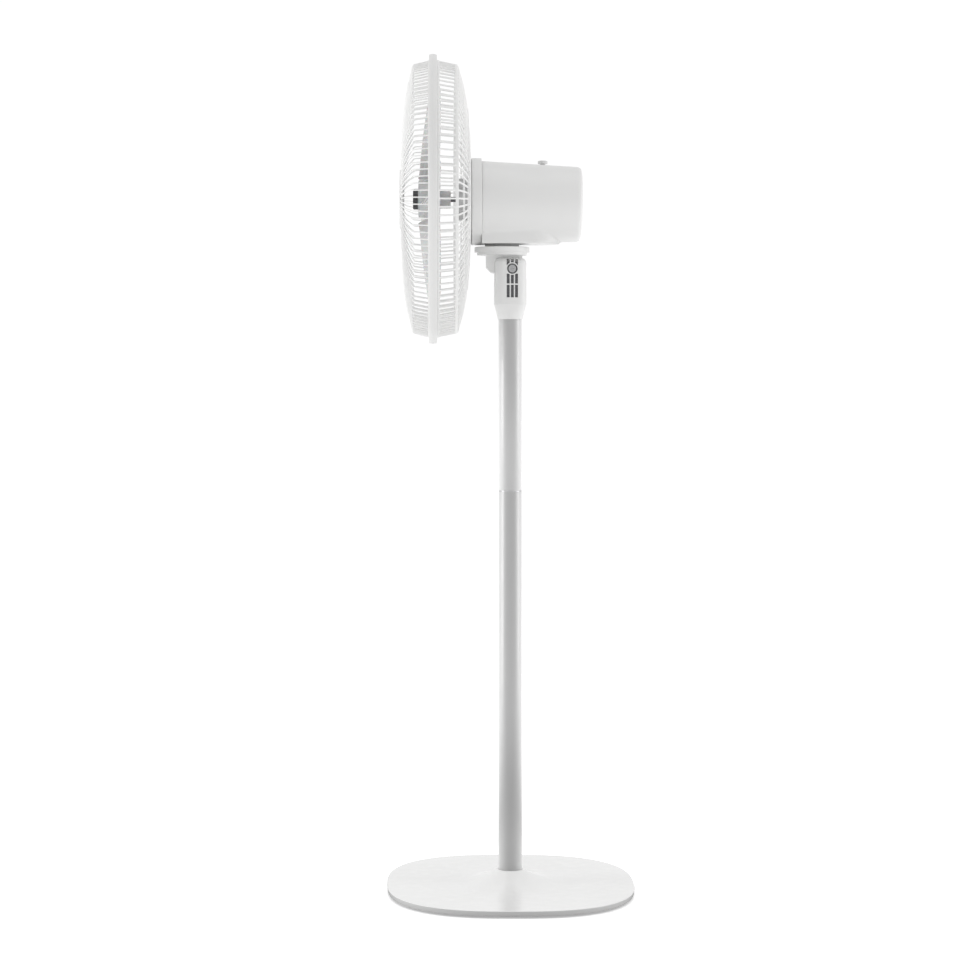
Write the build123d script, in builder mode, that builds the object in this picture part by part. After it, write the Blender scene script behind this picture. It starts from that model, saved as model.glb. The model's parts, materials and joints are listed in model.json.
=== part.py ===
"""Pedestal fan with a round grille, a drum-shaped motor head and a square-ish base.

Frame: millimetres, +Z up, origin on the floor under the pole axis.  The fan blows towards -X,
so -Y is its left-hand side as it stands.  Every separate piece is one labelled part and one
STEP file; identical fasteners share a part as separate solids.
"""
import os
from math import cos, pi, radians, sin, sqrt

from build123d import *

os.makedirs("parts", exist_ok=True)

# ---------------------------------------------------------------- fits and walls
slip_gap = 0.05            # radial clearance of a shaft in its bearing or bush
swing_gap = 0.4            # between faces that pass each other when the head moves
skin = 2.4                 # wall of the moulded casings
socket_gap = 0.1           # radial clearance of a spigot inside a tube

# ---------------------------------------------------------------- base
base_length = 376.0        # square base, across the middle of two sides
base_side_radius = 341.0   # the sides are bowed
base_corner_radius = 125.0
base_lift = 3.0            # floor to the lower edge of the cover
base_rim = 8.0             # height of the cover's edge
base_edge_fillet = 2.5
weight_thickness = 4.0
weight_gap = 0.4
flare_radius = 90.0        # the cover sweeps up to the pole inside this radius
flare_height = 20.0
foot_radius = 11.0
foot_chamfer = 1.0
foot_inset = 74.0          # foot centre from the side of the base, both ways
base_screw_inset = 38.0
cord_radius = 2.7

# ---------------------------------------------------------------- pole
pole_radius = 18.0
pole_wall = 1.5
seam_z = 608.0             # joint between the two pole tubes
seam_ring = 1.6
pole_top = 870.0
socket_height = 80.0
coupler_reach = 70.0
plug_reach = 50.0
spigot_wall = 2.5
socket_flange_radius = 34.0
socket_flange = 2.5
socket_bolt_circle = 26.0
socket_screw_radius = 2.5
socket_screw_head = 2.2

# ---------------------------------------------------------------- neck and tilt joint
neck_length = 49.0         # along X
neck_width = 46.0          # along Y
neck_corner = 14.0
mouth_margin = 1.0         # the neck's mouth beyond the pole, all round
neck_taper = 23.0
neck_height = 93.5         # from the pole top to the crown of the neck
neck_crown_fillet = 8.0
tilt_x = 2.5
tilt_rise = 76.7           # tilt axis above the pole top
slot_half = 13.4           # half width of the slot that the knuckle swings in
slot_depth = 32.0          # depth of that slot below the crown
ear_thickness = 2.5
ear_length = 30.0
knuckle_half = 12.9
bolt_radius = 4.0
bolt_well_radius = 8.0
bolt_head_radius = 5.8
vent_width = 4.4
vent_pitch = 6.3
vent_rows = ((33.0, 52.0), (54.0, 69.0), (81.5, 91.5))   # above the pole top
knuckle_front = 39.5       # reach of the knuckle in front of the tilt axis

# ---------------------------------------------------------------- turntable
turn_x = -12.6             # oscillation axis
disc_radius = 42.0
disc_thickness = 8.0
disc_step = 4.5
disc_gap = 4.0             # crown of the neck to the underside of the disc
boss_radius = 26.0
boss_bore = 22.5
spindle_radius = 5.0
post_offset = 17.5         # the link post, beside the oscillation axis
post_radius = 2.5

# ---------------------------------------------------------------- motor head
saddle_gap = 4.4           # top of the disc to the flat under the motor housing
saddle_step = 0.6          # that flat below the lowest line of the drum
housing_front = -44.0
housing_rear = 107.0
housing_front_radius = 63.3
housing_rear_radius = 57.0
housing_front_drop = 4.7   # housing centre below the motor axis, at its front
housing_rear_drop = 8.0
housing_edge = 7.0
housing_bulge = 2.0
pad_half = 42.0            # the flat-bottomed saddle over the turntable
pad_end = 34.0
collar_length = 16.0
collar_step = 3.2          # the collar stands this far proud of the housing
collar_drop = 3.5
thread_radius = 24.0
thread_length = 20.0
shaft_radius = 4.0
stator_front = -22.0
stator_length = 28.0
stator_radius = 42.0
rotor_radius = 22.0
air_gap = 0.5
bearing_radius = 8.0
bearing_length = 8.0
motor_boss = 12.0
pin_radius = 1.5

# ---------------------------------------------------------------- oscillation drive
drive_x = 50.4             # worm wheel, crank and pull knob share this vertical axis
drive_y = 17.0
swing_half = 40.0          # the head swings this far each way, in degrees
crank_pin_radius = 2.0
link_eye_radius = 4.0
link_bar_width = 5.0
worm_radius = 6.0
worm_length = 13.0
wheel_height = 8.0
wheel_teeth = 24
rod_radius = 2.0
knob_radius = 7.5
knob_cap = 5.0
knob_drop = 2.8            # top of the pull knob below the housing's front radius

# ---------------------------------------------------------------- speed control
speed_drop = 8.0
speed_knob_radius = 18.0
speed_well_radius = 22.0
speed_well_depth = 12.0

# ---------------------------------------------------------------- grilles
seam_x = -118.0            # the plane where the two grilles meet
ring_radius = 220.5
ring_width = 12.0
ring_wall = 1.6
rim_radius = 217.0
rim_width = 4.2
rim_depth = 6.0
rim_gap = 0.3              # between the rims and the ring that clips over them
screw_sink = 1.6           # depth of the ring screw's head in the ring
screw_head_radius = 3.2
seam_gap = 0.2             # each rim to the seam plane
grille_skin = 2.4
grille_side_radius = 211.0
front_corner_x = -148.5
front_corner_radius = 205.0
front_apex_x = -167.2
front_ribs = 128
front_rib_width = 1.7
rear_corner_x = -80.3
rear_corner_radius = 204.5
rear_apex_x = -60.4
rear_ribs = 108
rear_rib_width = 2.6
dome_power = 3.6
cap_radius = 45.0
mid_ring_radius = 100.0
plate_radius = 72.0
hoop_width = 6.5           # the solid band round the rear grille's corner
rear_hoops = (100.0, 136.0, 172.0)   # inner radii of the hoops that tie the rear ribs
hoop_depth = 3.0

# ---------------------------------------------------------------- fan
blade_count = 5
blade_radius = 178.0
hub_radius = 30.0
hub_front = -141.0
hub_length = 34.0
hub_boss_radius = 14.5
hub_boss_length = 16.0
spinner_radius = 15.5
spinner_length = 7.5
blade_mid_x = -125.0       # middle of the blade at its root
blade_rake = 9.5           # how far the tip sits behind the root
blade_root_pitch = 38.0
blade_tip_pitch = 14.0
blade_root_chord = 52.0
blade_thickness = 2.2

# ---------------------------------------------------------------- derived places
rim_top = base_lift + base_rim
weight_top = rim_top - skin
weight_bottom = weight_top - weight_thickness
flange_top = weight_top + socket_flange
pole_bore = pole_radius - pole_wall
spigot_radius = pole_bore - socket_gap
spigot_bore = spigot_radius - spigot_wall
neck_mouth_radius = pole_radius + mouth_margin
neck_crown = pole_top + neck_height
neck_shoulder = pole_top + neck_taper
tilt_z = pole_top + tilt_rise
slot_floor = neck_crown - slot_depth
disc_bottom = neck_crown + disc_gap
disc_top = disc_bottom + disc_step + disc_thickness
pad_bottom = disc_top + saddle_gap
housing_front_z = pad_bottom + saddle_step + housing_front_radius
head_z = housing_front_z + housing_front_drop
housing_rear_z = head_z - housing_rear_drop
floor_top = pad_bottom + skin
collar_front = housing_front - collar_length
collar_radius = housing_front_radius + collar_step
knob_top = housing_front_radius - knob_drop   # above the motor axis
collar_z = head_z - collar_drop
stator_rear = stator_front + stator_length
post_pos = (turn_x, post_offset)
crank_throw = post_offset * sin(radians(swing_half))
crank_pin_pos = (drive_x, drive_y + crank_throw)
link_bottom = floor_top + 0.8
link_thickness = 3.0
crank_bottom = link_bottom + link_thickness + swing_gap
carrier_bottom = crank_bottom
carrier_thickness = 9.0
spindle_top = carrier_bottom + carrier_thickness + 4.0
clip_groove = (spindle_top - 2.6, spindle_top - 1.4)
gear_floor = head_z - 13.0
wheel_radius = drive_y - worm_radius - 0.3
cover_circle = housing_front_radius - 7
motor_circle = stator_radius - 2.5
pin_x = hub_front + hub_length + hub_boss_length / 2
head_axis = Axis((0, 0, head_z), (1, 0, 0))
drum_dip = housing_rear_drop - housing_front_drop
drum_section = Plane(
    origin=(housing_front, 0, housing_front_z),
    x_dir=(housing_rear - housing_front, 0, -drum_dip),
    z_dir=(0, -1, 0),
)
head_section = Plane(origin=(0, 0, head_z), x_dir=(1, 0, 0), z_dir=(0, -1, 0))


# ---------------------------------------------------------------- helpers
def facing_x(x, y=0.0, z=head_z):
    """Sketch plane across the motor axis: its own x is +Y and its own y is +Z."""
    return Plane(origin=(x, y, z), x_dir=(0, 1, 0), z_dir=(1, 0, 0))


def facing_y(y, x=0.0, z=0.0):
    """Sketch plane across Y: its own x is -X and its own y is +Z."""
    return Plane(origin=(x, y, z), x_dir=(-1, 0, 0), z_dir=(0, 1, 0))


def round_bar(plane, length, radius, bore=0.0, mode=Mode.ADD):
    """A round bar or tube that starts on a plane and runs along its normal."""
    with BuildSketch(plane) as section:
        Circle(radius)
        if bore:
            Circle(bore, mode=Mode.SUBTRACT)
    extrude(section.sketch, amount=length, mode=mode)


def bar_x(start, end, radius, bore=0.0, y=0.0, z=head_z, mode=Mode.ADD):
    round_bar(facing_x(start, y, z), end - start, radius, bore, mode)


def bar_y(start, end, radius, bore=0.0, x=0.0, z=0.0, mode=Mode.ADD):
    round_bar(facing_y(start, x, z), end - start, radius, bore, mode)


def bar_z(start, end, radius, bore=0.0, x=0.0, y=0.0, mode=Mode.ADD):
    round_bar(Plane(origin=(x, y, start)), end - start, radius, bore, mode)


def bars_on_circle(start, end, circle, radius, z=head_z, mode=Mode.ADD, count=4):
    """Bars along X on a bolt circle, the first one at 45 degrees."""
    with BuildSketch(facing_x(start, z=z)) as sections:
        with PolarLocations(circle, count, start_angle=45):
            Circle(radius)
    extrude(sections.sketch, amount=end - start, mode=mode)


def windows(start, depth, circle, count, length, width):
    """Cut radial slots on a circle through a plate that lies across the motor axis."""
    with BuildSketch(facing_x(start)) as openings:
        with PolarLocations(circle, count):
            SlotOverall(length, width)
    extrude(openings.sketch, amount=depth, mode=Mode.SUBTRACT)


def block(low, high, mode=Mode.ADD):
    """A rectangular block between two corners."""
    size = [b - a for a, b in zip(low, high)]
    middle = [(a + b) / 2 for a, b in zip(low, high)]
    with Locations(tuple(middle)):
        Box(*size, mode=mode)


def finish_part(builder, name):
    """Label a piece and write its STEP file."""
    builder.part.label = name
    export_step(builder.part, f"parts/{name}.step")


def base_outline(inset, z):
    """The base's plan: a square with bowed sides and round corners, drawn inside the edge."""
    half = base_length / 2 - inset
    side = base_side_radius - inset
    lean = side - half
    tip = (sqrt(2 * side**2 - lean**2) - lean) / 2
    tips = [(tip, tip), (-tip, tip), (-tip, -tip), (tip, -tip)]
    middles = [(0, half), (-half, 0), (0, -half), (half, 0)]
    with BuildSketch(Plane.XY.offset(z)) as outline:
        with BuildLine():
            for index, middle in enumerate(middles):
                ThreePointArc(tips[index], middle, tips[(index + 1) % 4])
        make_face()
        fillet(outline.vertices(), base_corner_radius - inset)
    return outline.sketch


def flare(inset, top):
    """The trumpet that lifts the base cover to the pole, a given depth inside its skin."""
    with BuildSketch(Plane.XZ) as trumpet:
        with BuildLine():
            outer = (flare_radius - inset, rim_top - inset)
            inner = (pole_radius + 2 + 1.2 * inset, top)
            TangentArc(outer, inner, tangent=(-1, 0))
            Polyline(inner, (0, top), (0, base_lift + 1), (outer[0], base_lift + 1), outer)
        make_face()
    return trumpet.sketch


def neck_block(inset):
    """The neck's outer form, or the same form a given depth inside it."""
    with BuildSketch(Plane.XY.offset(pole_top)) as mouth:
        Circle(neck_mouth_radius - inset)
    with BuildSketch(Plane.XY.offset(neck_shoulder)) as shoulder:
        RectangleRounded(neck_length - 2 * inset, neck_width - 2 * inset, neck_corner - inset)
    loft([mouth.sketch, shoulder.sketch])
    extrude(shoulder.sketch, amount=neck_height - neck_taper - inset)


def drum(inset):
    """The motor housing's drum, or its hollow: a slender cone whose axis dips towards the rear."""
    length = housing_rear - housing_front
    slope = (housing_front_radius - housing_rear_radius) / length
    lead = 8
    with BuildSketch(drum_section) as section:
        with BuildLine():
            shoulder = (length - inset, housing_rear_radius - inset)
            Polyline((-lead, 0), (-lead, housing_front_radius + slope * lead - inset), shoulder)
            ThreePointArc(shoulder, (length + 0.75 * housing_bulge - inset, 0.5 * shoulder[1]),
                          (length + housing_bulge - inset, 0))
            Line((length + housing_bulge - inset, 0), (-lead, 0))
        make_face()
        corner = section.vertices().sort_by_distance(drum_section.from_local_coords(shoulder))[0]
        fillet(corner, housing_edge - inset)
    revolve(section.sketch, axis=Axis(drum_section.origin, drum_section.x_dir))


def saddle(inset):
    """The flat-bottomed saddle under the drum, or its hollow."""
    with BuildSketch(Plane.XY.offset(pad_bottom + inset)) as plan:
        with Locations(((housing_front + pad_end) / 2, 0)):
            Rectangle(pad_end - housing_front, 2 * (pad_half - inset))
        with Locations((pad_end, 0)):
            Circle(pad_half - inset)
    extrude(plan.sketch, amount=housing_front_radius - 22)


def bowl(rim_x, corner_x, corner_radius, apex_x, inset):
    """Half section of a grille: a slightly conical side wall and a dome, closed to the axis."""
    way = 1 if apex_x > rim_x else -1
    depth = abs(apex_x - corner_x)
    dome = []
    for share in (1.0, 0.88, 0.74, 0.56, 0.32):
        fall = inset + depth * share**dome_power
        dome.append((apex_x - way * fall, share * corner_radius - inset))
    apex = (apex_x - way * inset, 0)
    with BuildSketch(head_section) as section:
        with BuildLine():
            Polyline((rim_x, 0), (rim_x, grille_side_radius - inset), dome[0])
            Spline(dome)
            Polyline(dome[-1], (apex[0], 0.2 * corner_radius), apex, (rim_x, 0))
        make_face()
    return section.sketch


def rib_gaps(count, rib, inner, outer, start, end):
    """Cut the gaps between straight radial ribs, from one radius and place to another."""
    half_pitch = pi / count
    near = inner * half_pitch - rib / 2
    far = outer * half_pitch - rib / 2
    with BuildSketch(facing_x(start)) as gaps:
        with PolarLocations(0, count):
            Polygon((inner, -near), (outer, -far), (outer, far), (inner, near), align=None)
    extrude(gaps.sketch, amount=end - start, mode=Mode.SUBTRACT)


# ================================================================ base
foot_place = base_length / 2 - foot_inset
inlet_start = base_length / 2 - 6
inlet_z = weight_bottom + 0.6
screw_place = base_length / 2 - base_screw_inset
foot_spots = [(x * foot_place, y * foot_place) for x in (-1, 1) for y in (-1, 1)]
screw_spots = [(screw_place, 0), (-screw_place, 0), (0, screw_place), (0, -screw_place)]

with BuildPart() as base_cover:
    extrude(base_outline(0, base_lift), amount=base_rim)
    fillet(base_cover.edges().group_by(Axis.Z)[-1], base_edge_fillet)
    revolve(flare(0, rim_top + flare_height), axis=Axis.Z)
    extrude(base_outline(skin, base_lift), amount=base_rim - skin, mode=Mode.SUBTRACT)
    revolve(flare(skin, rim_top + flare_height - 2 * skin), axis=Axis.Z, mode=Mode.SUBTRACT)
    bar_z(base_lift, rim_top + flare_height + 1, pole_radius + socket_gap, mode=Mode.SUBTRACT)
    for spot in screw_spots:
        bar_z(weight_bottom + 0.5, weight_top + 0.1, 4.5, x=spot[0], y=spot[1])
        bar_z(weight_bottom, weight_top + 0.7, 1.5, x=spot[0], y=spot[1], mode=Mode.SUBTRACT)
    bar_x(inlet_start, base_length / 2 + 1, cord_radius + 1, z=inlet_z, mode=Mode.SUBTRACT)
finish_part(base_cover, "base_cover")

with BuildPart() as base_weight:
    extrude(base_outline(skin + weight_gap, weight_bottom), amount=weight_thickness)
    bar_z(weight_bottom, weight_top, 12, mode=Mode.SUBTRACT)
    for spot in screw_spots:
        bar_z(weight_bottom, weight_top, 5, x=spot[0], y=spot[1], mode=Mode.SUBTRACT)
    with PolarLocations(socket_bolt_circle, 4):
        Cylinder(socket_screw_radius, 40, mode=Mode.SUBTRACT)
    block((base_length / 2 - 18, -8, weight_bottom), (base_length / 2, 8, weight_top), Mode.SUBTRACT)
finish_part(base_weight, "base_weight")

with BuildPart() as base_feet:
    for spot in foot_spots:
        bar_z(0, weight_bottom, foot_radius, x=spot[0], y=spot[1])
    chamfer(base_feet.edges().group_by(Axis.Z)[0], foot_chamfer)
finish_part(base_feet, "base_feet")

with BuildPart() as base_screws:
    for spot in screw_spots:
        bar_z(weight_bottom - 1.6, weight_bottom, 6.5, x=spot[0], y=spot[1])
        bar_z(weight_bottom, weight_top + 0.7, 1.5, x=spot[0], y=spot[1])
finish_part(base_screws, "base_screws")

with BuildPart() as cord_grommet:
    bar_x(inlet_start, base_length / 2, cord_radius + 1, cord_radius, z=inlet_z)
finish_part(cord_grommet, "cord_grommet")

with BuildPart() as pole_socket:
    bar_z(weight_top, flange_top, socket_flange_radius)
    bar_z(flange_top, flange_top + socket_height, spigot_radius)
    bar_z(weight_top, flange_top + socket_height, spigot_bore, mode=Mode.SUBTRACT)
    with PolarLocations(socket_bolt_circle, 4):
        Cylinder(socket_screw_radius, 40, mode=Mode.SUBTRACT)
finish_part(pole_socket, "pole_socket")

with BuildPart() as socket_screws:
    for quarter in range(4):
        across = socket_bolt_circle * cos(quarter * pi / 2)
        along = socket_bolt_circle * sin(quarter * pi / 2)
        head_radius = 1.8 * socket_screw_radius
        bar_z(weight_bottom - socket_screw_head, weight_bottom, head_radius, x=across, y=along)
        bar_z(weight_bottom, flange_top + 1, socket_screw_radius, x=across, y=along)
finish_part(socket_screws, "socket_screws")

# ================================================================ pole
with BuildPart() as pole_lower:
    bar_z(flange_top, seam_z - seam_ring / 2, pole_radius, pole_bore)
    chamfer(pole_lower.edges().group_by(Axis.Z)[-1].sort_by(SortBy.LENGTH)[-1], 0.6)
finish_part(pole_lower, "pole_lower")

with BuildPart() as pole_coupler:
    bar_z(seam_z - coupler_reach, seam_z + coupler_reach, spigot_radius)
    bar_z(seam_z - seam_ring / 2, seam_z + seam_ring / 2, pole_radius - 0.4)
    bar_z(seam_z - coupler_reach, seam_z + coupler_reach, spigot_bore, mode=Mode.SUBTRACT)
finish_part(pole_coupler, "pole_coupler")

with BuildPart() as pole_upper:
    bar_z(seam_z + seam_ring / 2, pole_top, pole_radius, pole_bore)
    chamfer(pole_upper.edges().group_by(Axis.Z)[0].sort_by(SortBy.LENGTH)[-1], 0.6)
finish_part(pole_upper, "pole_upper")

# ================================================================ neck
ear_foot = neck_shoulder + 2
ear_inner = knuckle_half + 1.1
ear_outer = ear_inner + ear_thickness

with BuildPart() as tilt_bracket:
    bar_z(pole_top - plug_reach, ear_foot, spigot_radius, 11)
    ear_front = tilt_x - ear_length / 2
    ear_rear = tilt_x + ear_length / 2
    block((ear_front, -ear_outer, ear_foot), (ear_rear, ear_outer, ear_foot + 3))
    bar_z(ear_foot, ear_foot + 3, 8, mode=Mode.SUBTRACT)
    for side in (-1, 1):
        near, far = sorted((side * ear_inner, side * ear_outer))
        block((ear_front, near, ear_foot), (ear_rear, far, tilt_z))
        bar_y(near, far, 12, x=tilt_x, z=tilt_z)
        bar_y(near, far, bolt_radius + slip_gap, x=tilt_x, z=tilt_z, mode=Mode.SUBTRACT)
finish_part(tilt_bracket, "tilt_bracket")


def neck_half(side):
    """One half of the neck casing: side -1 is the left half, side +1 the right half."""
    with BuildPart() as half:
        neck_block(0)
        fillet(half.faces().sort_by(Axis.Z)[-1].edges(), neck_crown_fillet)
        with BuildPart(mode=Mode.PRIVATE) as hollow:
            neck_block(skin)
        add(hollow.part, mode=Mode.SUBTRACT)
        slot_high = (neck_length, slot_half, neck_crown + 1)
        block((-neck_length, -slot_half, slot_floor), slot_high, Mode.SUBTRACT)
        wall = side * neck_width / 2
        near, far = sorted((wall - side * 8, wall + side * 2))
        for column in (-1, 0, 1):
            middle = tilt_x + column * vent_pitch
            for low, high in vent_rows:
                block(
                    (middle - vent_width / 2, near, pole_top + low),
                    (middle + vent_width / 2, far, pole_top + high),
                    Mode.SUBTRACT,
                )
        bar_y(*sorted((wall, wall - side * 6)), bolt_well_radius + 1.5, x=tilt_x, z=tilt_z)
        bar_y(near, far, bolt_well_radius, x=tilt_x, z=tilt_z, mode=Mode.SUBTRACT)
        split(bisect_by=Plane.XZ, keep=Keep.TOP if side < 0 else Keep.BOTTOM)
    return half


neck_shell_left = neck_half(-1)
finish_part(neck_shell_left, "neck_shell_left")
neck_shell_right = neck_half(1)
finish_part(neck_shell_right, "neck_shell_right")

with BuildPart() as tilt_bolt:
    head_from = -ear_outer - 4.5
    bar_y(head_from, -ear_outer, bolt_head_radius, x=tilt_x, z=tilt_z)
    bar_y(-ear_outer, ear_outer + 6, bolt_radius, x=tilt_x, z=tilt_z)
    with BuildSketch(facing_y(head_from, tilt_x, tilt_z)) as recess:
        RegularPolygon(3, 6)
    extrude(recess.sketch, amount=2.5, mode=Mode.SUBTRACT)
finish_part(tilt_bolt, "tilt_bolt")

with BuildPart() as tilt_nut:
    with BuildSketch(facing_y(ear_outer, tilt_x, tilt_z)) as hexagon:
        RegularPolygon(7, 6)
        Circle(bolt_radius, mode=Mode.SUBTRACT)
    extrude(hexagon.sketch, amount=5)
finish_part(tilt_nut, "tilt_nut")

with BuildPart() as friction_washers:
    for near in (-ear_inner, knuckle_half + 0.1):
        bar_y(near, near + 1.0, 10, bolt_radius + slip_gap, x=tilt_x, z=tilt_z)
finish_part(friction_washers, "friction_washers")

# ================================================================ tilting piece and turntable
with BuildPart() as tilt_knuckle:
    with BuildSketch(facing_y(-knuckle_half, tilt_x, tilt_z)) as side_view:
        Circle(13)
        rise = disc_bottom - tilt_z
        with BuildLine():
            Polyline(
                (knuckle_front, rise),
                (knuckle_front, 2),
                (knuckle_front - 7, -5.5),
                (6, -11),
                (-12, 4),
                (-16, rise),
                close=True,
            )
        make_face()
    extrude(side_view.sketch, amount=2 * knuckle_half)
    bar_y(-knuckle_half, knuckle_half, bolt_radius + slip_gap, x=tilt_x, z=tilt_z, mode=Mode.SUBTRACT)
    bar_z(disc_bottom, disc_bottom + disc_step + 1, 14, x=turn_x)
    bar_z(disc_bottom - 6, disc_top, spindle_radius, x=turn_x, mode=Mode.SUBTRACT)
finish_part(tilt_knuckle, "tilt_knuckle")

with BuildPart() as turntable_disc:
    bar_z(disc_bottom, disc_bottom + disc_step, disc_radius - 4, x=turn_x)
    bar_z(disc_bottom + disc_step, disc_top, disc_radius, x=turn_x)
    fillet(turntable_disc.edges().group_by(Axis.Z)[-1], 1.5)
    bar_z(disc_bottom, disc_bottom + disc_step + 1, 14, x=turn_x, mode=Mode.SUBTRACT)
    bar_z(disc_bottom, disc_top, spindle_radius, x=turn_x, mode=Mode.SUBTRACT)
    bar_z(disc_top - 4, disc_top, post_radius, x=turn_x, y=post_offset, mode=Mode.SUBTRACT)
finish_part(turntable_disc, "turntable_disc")

with BuildPart() as oscillation_spindle:
    bar_z(disc_bottom - 6, spindle_top, spindle_radius, x=turn_x)
    bar_z(*clip_groove, spindle_radius, spindle_radius - 1, x=turn_x, mode=Mode.SUBTRACT)
finish_part(oscillation_spindle, "oscillation_spindle")

with BuildPart() as spindle_clip:
    bar_z(*clip_groove, spindle_radius + 2, spindle_radius - 1, x=turn_x)
finish_part(spindle_clip, "spindle_clip")

with BuildPart() as link_post:
    bar_z(disc_top - 4, link_bottom - swing_gap, post_radius, x=turn_x, y=post_offset)
finish_part(link_post, "link_post")

# ================================================================ head casing
well_z = head_z - speed_drop
well_floor = housing_rear - speed_well_depth

with BuildPart() as motor_housing:
    drum(0)
    saddle(0)
    with BuildPart(mode=Mode.PRIVATE) as housing_hollow:
        drum(skin)
        saddle(skin)
    add(housing_hollow.part, mode=Mode.SUBTRACT)
    split(bisect_by=Plane.YZ.offset(housing_front), keep=Keep.TOP)
    bar_z(pad_bottom - 1, floor_top + 1, boss_bore, x=turn_x, mode=Mode.SUBTRACT)
    bar_x(well_floor - skin, housing_rear - 1, speed_well_radius + skin, z=well_z)
    bar_x(well_floor, housing_rear + 2, speed_well_radius, z=well_z, mode=Mode.SUBTRACT)
    bar_x(well_floor - skin, housing_rear, 3.5, z=well_z, mode=Mode.SUBTRACT)
    bar_z(head_z + 30, head_z + 70, 4.4, x=drive_x, y=drive_y, mode=Mode.SUBTRACT)
    with BuildSketch(facing_x(housing_rear - 2 * skin, z=housing_rear_z)) as rear_vents:
        with PolarLocations(38, 24):
            SlotOverall(16, 3)
    extrude(rear_vents.sketch, amount=3 * skin, mode=Mode.SUBTRACT)
    bars_on_circle(housing_front, housing_front + 18, cover_circle, 5, housing_front_z)
    bars_on_circle(housing_front, housing_front + 16, cover_circle, 1.6, housing_front_z, Mode.SUBTRACT)
finish_part(motor_housing, "motor_housing")

with BuildPart() as front_cover:
    bar_x(collar_front, housing_front, collar_radius, z=collar_z)
    fillet(front_cover.edges().sort_by(Axis.X)[0], 3)
    bar_x(collar_front + 3, housing_front, collar_radius - skin, z=collar_z, mode=Mode.SUBTRACT)
    bar_x(collar_front - thread_length, collar_front + 1, thread_radius)
    bar_x(collar_front - thread_length, collar_front + 4, 9, mode=Mode.SUBTRACT)
    bars_on_circle(collar_front + 3, housing_front, cover_circle, 5, housing_front_z)
    bars_on_circle(collar_front, housing_front, cover_circle, 1.6, housing_front_z, Mode.SUBTRACT)
    bars_on_circle(collar_front, collar_front + 1.8, cover_circle, 3.2, housing_front_z, Mode.SUBTRACT)
finish_part(front_cover, "front_cover")

with BuildPart() as housing_screws:
    bars_on_circle(collar_front + 0.2, housing_front + 14, cover_circle, 1.6, housing_front_z)
    bars_on_circle(collar_front + 0.2, collar_front + 1.8, cover_circle, 3.2, housing_front_z)
finish_part(housing_screws, "housing_screws")

with BuildPart() as turntable_boss:
    bar_z(disc_top + swing_gap, pad_bottom, boss_radius, boss_bore, x=turn_x)
finish_part(turntable_boss, "turntable_boss")

# ================================================================ motor
with BuildPart() as motor_front_bracket:
    bar_x(stator_front - 14, stator_front, stator_radius, stator_radius - 5)
    bar_x(stator_front - 18, stator_front - 14, stator_radius)
    bar_x(collar_front + 3, stator_front - 18, motor_boss)
    bar_x(collar_front + 3, stator_front - 14, bearing_radius, mode=Mode.SUBTRACT)
    windows(stator_front - 18, 4, 24, 6, 12, 7)
    bars_on_circle(stator_front - 18, stator_front, motor_circle, 1.5, mode=Mode.SUBTRACT)
finish_part(motor_front_bracket, "motor_front_bracket")

with BuildPart() as motor_rear_bracket:
    bar_x(stator_rear, stator_rear + 12, stator_radius, stator_radius - 5)
    bar_x(stator_rear + 12, stator_rear + 16, stator_radius)
    bar_x(stator_rear + 16, stator_rear + 27, motor_boss)
    bar_x(stator_rear + 12, stator_rear + 27, bearing_radius, mode=Mode.SUBTRACT)
    windows(stator_rear + 12, 4, 24, 6, 12, 7)
    bars_on_circle(stator_rear, stator_rear + 16, motor_circle, 1.5, mode=Mode.SUBTRACT)
finish_part(motor_rear_bracket, "motor_rear_bracket")

with BuildPart() as stator_core:
    bar_x(stator_front, stator_rear, stator_radius, rotor_radius + air_gap)
    windows(stator_front, stator_length, rotor_radius + air_gap + 6, 16, 9, 4)
    bars_on_circle(stator_front, stator_rear, motor_circle, 1.5, mode=Mode.SUBTRACT)
finish_part(stator_core, "stator_core")

with BuildPart() as stator_windings:
    bar_x(stator_front - 10, stator_front, 35, 24)
    bar_x(stator_rear, stator_rear + 10, 35, 24)
    fillet(stator_windings.edges().filter_by(GeomType.CIRCLE).group_by(Axis.X)[0], 3)
    fillet(stator_windings.edges().filter_by(GeomType.CIRCLE).group_by(Axis.X)[-1], 3)
finish_part(stator_windings, "stator_windings")

with BuildPart() as front_bearing:
    bar_x(collar_front + 7, collar_front + 7 + bearing_length, bearing_radius, shaft_radius + slip_gap)
finish_part(front_bearing, "front_bearing")

with BuildPart() as rear_bearing:
    bar_x(stator_rear + 17, stator_rear + 17 + bearing_length, bearing_radius, shaft_radius + slip_gap)
finish_part(rear_bearing, "rear_bearing")

with BuildPart() as rotor_core:
    bar_x(stator_front + 1, stator_rear - 1, rotor_radius, shaft_radius)
finish_part(rotor_core, "rotor_core")

with BuildPart() as motor_shaft:
    bar_x(hub_front - 4, drive_x + 10, shaft_radius)
    bar_z(head_z - 10, head_z + 10, pin_radius, x=pin_x, mode=Mode.SUBTRACT)
    chamfer(motor_shaft.edges().filter_by(GeomType.CIRCLE).group_by(Axis.X)[0], 0.8)
finish_part(motor_shaft, "motor_shaft")

with BuildPart() as motor_screws:
    bars_on_circle(stator_front - 20, stator_rear + 16, motor_circle, 1.5)
    bars_on_circle(stator_front - 20, stator_front - 18, motor_circle, 2.4)
finish_part(motor_screws, "motor_screws")

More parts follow.
